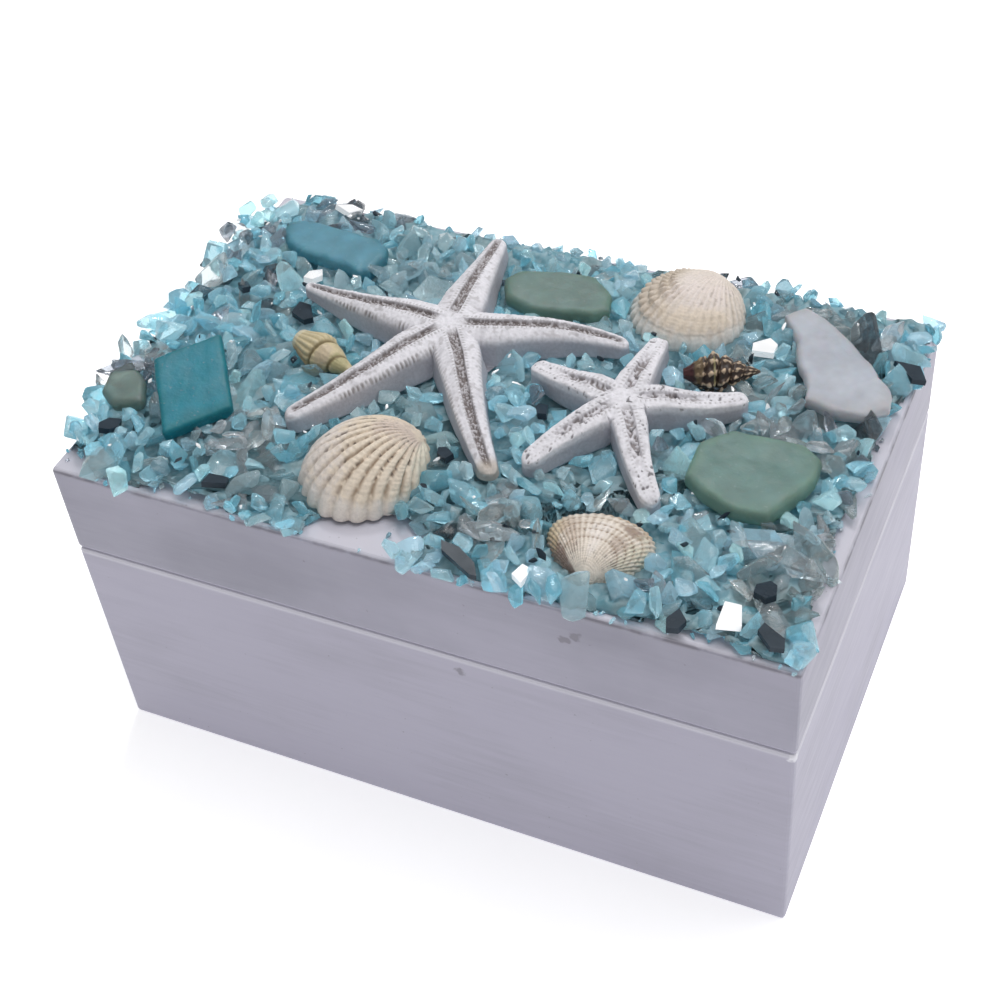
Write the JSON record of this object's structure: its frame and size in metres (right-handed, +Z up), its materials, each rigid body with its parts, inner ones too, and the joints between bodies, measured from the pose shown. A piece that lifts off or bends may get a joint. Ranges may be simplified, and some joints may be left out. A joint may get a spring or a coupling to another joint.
{
  "type": "shell box",
  "caption": "Painted wooden keepsake box with a lift-off lid crusted with crushed glass, sea glass, shells and starfish.",
  "frame": {"origin": "centre of the box's underside", "axes": "+X along the length to the right, +Y towards the back, +Z up"},
  "size_m": [0.1821, 0.1144, 0.1034],
  "materials": {
    "painted_wood": "pale lavender-grey satin paint over wood",
    "aqua_glass": "crushed aqua and clear glass set in glue",
    "whitewashed_star": "chalky whitewash rubbed back to grey-brown in the grooves",
    "cream_shell": "natural cream shell with brown specks",
    "striped_shell": "natural shell banded in brown and cream",
    "yellow_shell": "natural yellow shell",
    "spotted_shell": "dark brown shell with cream knobs",
    "teal_sea_glass": "frosted teal glass",
    "blue_sea_glass": "frosted blue glass",
    "green_sea_glass": "frosted pale green glass",
    "frosted_sea_glass": "frosted clear glass",
    "olive_sea_glass": "rough olive-green glass",
    "mirror": "broken silvered mirror"
  },
  "bodies": {
    "root": {"base": "painted_wood", "lid": "painted_wood", "crushed_glass": "aqua_glass", "large_starfish": "whitewashed_star", "small_starfish": "whitewashed_star", "front_cockle_shell": "cream_shell", "back_cockle_shell": "cream_shell", "striped_clam_shell": "striped_shell", "yellow_whelk_shell": "yellow_shell", "spotted_whelk_shell": "spotted_shell", "teal_sea_glass": "teal_sea_glass", "blue_sea_glass": "blue_sea_glass", "back_green_sea_glass": "green_sea_glass", "front_green_sea_glass": "green_sea_glass", "frosted_sea_glass": "frosted_sea_glass", "olive_sea_glass": "olive_sea_glass", "mirror_shard_01": "mirror", "mirror_shard_02": "mirror", "mirror_shard_03": "mirror", "mirror_shard_04": "mirror", "mirror_shard_05": "mirror", "mirror_shard_06": "mirror", "mirror_shard_07": "mirror", "mirror_shard_08": "mirror", "mirror_shard_09": "mirror", "mirror_shard_10": "mirror", "mirror_shard_11": "mirror", "mirror_shard_12": "mirror", "mirror_shard_13": "mirror", "mirror_shard_14": "mirror", "mirror_shard_15": "mirror", "mirror_shard_16": "mirror"}
  },
  "joints": []
}
